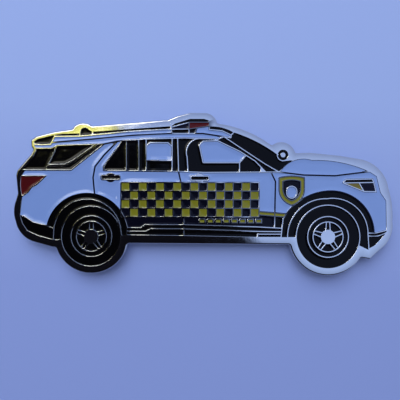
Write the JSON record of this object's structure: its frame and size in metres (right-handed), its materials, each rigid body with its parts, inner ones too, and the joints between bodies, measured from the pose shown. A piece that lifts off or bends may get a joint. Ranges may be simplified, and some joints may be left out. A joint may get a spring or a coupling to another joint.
{
  "type": "police patrol car medallion",
  "caption": "Flat die-struck metal medallion in the outline of a police patrol car, with raised polished lines and sunk soft-enamel cells in white, black, navy, yellow and red; lies flat.",
  "frame": {"origin": "middle of the medallion on the plane of its back rim, where it lies on a surface", "axes": "+X the way the car faces, +Y from the wheels to the roof of the picture, +Z out of the enamelled side"},
  "size_m": [0.076, 0.0326, 0.003],
  "materials": {
    "amber_enamel": "soft enamel, gloss amber",
    "black_enamel": "soft enamel, gloss black",
    "navy_enamel": "soft enamel, gloss navy",
    "polished_nickel": "nickel-plated zinc alloy, polished lines and rim, sand-blasted sunk back",
    "red_enamel": "soft enamel, gloss dark red",
    "smoke_enamel": "soft enamel, gloss dark grey",
    "white_enamel": "soft enamel, gloss white",
    "yellow_enamel": "soft enamel, gloss golden yellow"
  },
  "bodies": {
    "root": {"a_pillar": "black_enamel", "antenna_fin": "black_enamel", "b_pillar": "black_enamel", "badge_border": "yellow_enamel", "badge_centre": "white_enamel", "badge_field": "navy_enamel", "bonnet": "white_enamel", "cant_rail": "white_enamel", "chequer_navy": "navy_enamel", "chequer_yellow": "yellow_enamel", "coin_body": "polished_nickel", "door_handles": "black_enamel", "door_mirror": "black_enamel", "front_arch": "black_enamel", "front_arch_liner": "black_enamel", "front_door": "white_enamel", "front_door_lower": "navy_enamel", "front_lip": "black_enamel", "front_side_glass": "white_enamel", "front_tyre": "black_enamel", "front_wheel_rim": "black_enamel", "front_wheel_spokes": "black_enamel", "front_wheel_windows": "black_enamel", "front_window_frame": "black_enamel", "front_wing": "white_enamel", "front_wing_lower": "black_enamel", "headlamp_brow": "black_enamel", "headlamp_lens": "smoke_enamel", "light_bar_cap": "black_enamel", "light_bar_feet": "black_enamel", "light_bar_front_lens": "red_enamel", "light_bar_rear_lens": "smoke_enamel", "quarter_glass": "black_enamel", "rear_arch": "black_enamel", "rear_arch_liner": "black_enamel", "rear_bumper": "black_enamel", "rear_door": "white_enamel", "rear_door_lower": "navy_enamel", "rear_quarter": "white_enamel", "rear_side_glass": "white_enamel", "rear_spoiler": "black_enamel", "rear_tyre": "black_enamel", "rear_wheel_rim": "black_enamel", "rear_wheel_spokes": "black_enamel", "rear_wheel_windows": "black_enamel", "rear_window_frame": "black_enamel", "roof_panel": "white_enamel", "roof_rails": "black_enamel", "side_stripe": "yellow_enamel", "sill": "black_enamel", "sill_trim": "black_enamel", "small_yellow_blocks": "yellow_enamel", "spot_lamp": "black_enamel", "tail_lamp": "red_enamel", "tailgate_glass": "black_enamel", "turn_signal": "amber_enamel", "windscreen": "black_enamel"}
  },
  "joints": []
}
